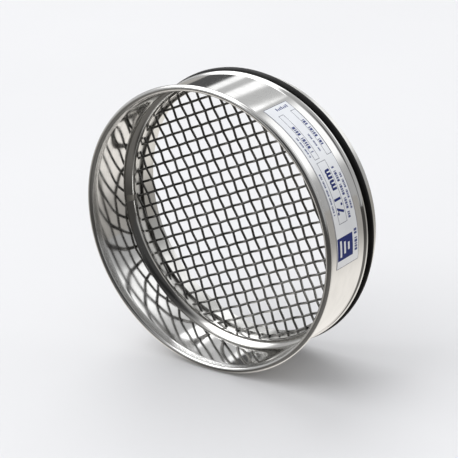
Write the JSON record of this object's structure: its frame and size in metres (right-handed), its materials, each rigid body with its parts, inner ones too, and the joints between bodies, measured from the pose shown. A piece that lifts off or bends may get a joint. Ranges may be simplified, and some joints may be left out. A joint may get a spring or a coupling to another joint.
{
  "type": "soil sieve",
  "caption": "Round stainless sieve: spun frame with rolled rim and nesting skirt, rubber seal, clamped crimped wire cloth.",
  "frame": {"origin": "on the sieve's axis, in the plane of the skirt's bottom edge", "axes": "+Z along the axis, from the skirt towards the rolled rim; +X and +Y along the weft and warp wires"},
  "size_m": [0.2106, 0.2106, 0.0675],
  "materials": {
    "polished_steel": "polished stainless sheet with fine turning lines round the wall",
    "satin_steel": "satin stainless sheet",
    "wire_steel": "drawn stainless wire, dark where it mirrors its surroundings",
    "solder": "wiped solder, uneven",
    "seal_rubber": "black moulded rubber with a soft sheen",
    "label_foil": "pale printed foil"
  },
  "bodies": {
    "root": {"frame_wall": "polished_steel", "skirt_ring": "satin_steel", "retaining_ring": "polished_steel", "solder_fillet": "solder", "seal_ring": "seal_rubber", "label_plate": "label_foil", "warp_wire_01": "wire_steel", "warp_wire_02": "wire_steel", "warp_wire_03": "wire_steel", "warp_wire_04": "wire_steel", "warp_wire_05": "wire_steel", "warp_wire_06": "wire_steel", "warp_wire_07": "wire_steel", "warp_wire_08": "wire_steel", "warp_wire_09": "wire_steel", "warp_wire_10": "wire_steel", "warp_wire_11": "wire_steel", "warp_wire_12": "wire_steel", "warp_wire_13": "wire_steel", "warp_wire_14": "wire_steel", "warp_wire_15": "wire_steel", "warp_wire_16": "wire_steel", "warp_wire_17": "wire_steel", "warp_wire_18": "wire_steel", "warp_wire_19": "wire_steel", "warp_wire_20": "wire_steel", "warp_wire_21": "wire_steel", "weft_wire_01": "wire_steel", "weft_wire_02": "wire_steel", "weft_wire_03": "wire_steel", "weft_wire_04": "wire_steel", "weft_wire_05": "wire_steel", "weft_wire_06": "wire_steel", "weft_wire_07": "wire_steel", "weft_wire_08": "wire_steel", "weft_wire_09": "wire_steel", "weft_wire_10": "wire_steel", "weft_wire_11": "wire_steel", "weft_wire_12": "wire_steel", "weft_wire_13": "wire_steel", "weft_wire_14": "wire_steel", "weft_wire_15": "wire_steel", "weft_wire_16": "wire_steel", "weft_wire_17": "wire_steel", "weft_wire_18": "wire_steel", "weft_wire_19": "wire_steel", "weft_wire_20": "wire_steel", "weft_wire_21": "wire_steel", "weft_wire_22": "wire_steel"}
  },
  "joints": []
}
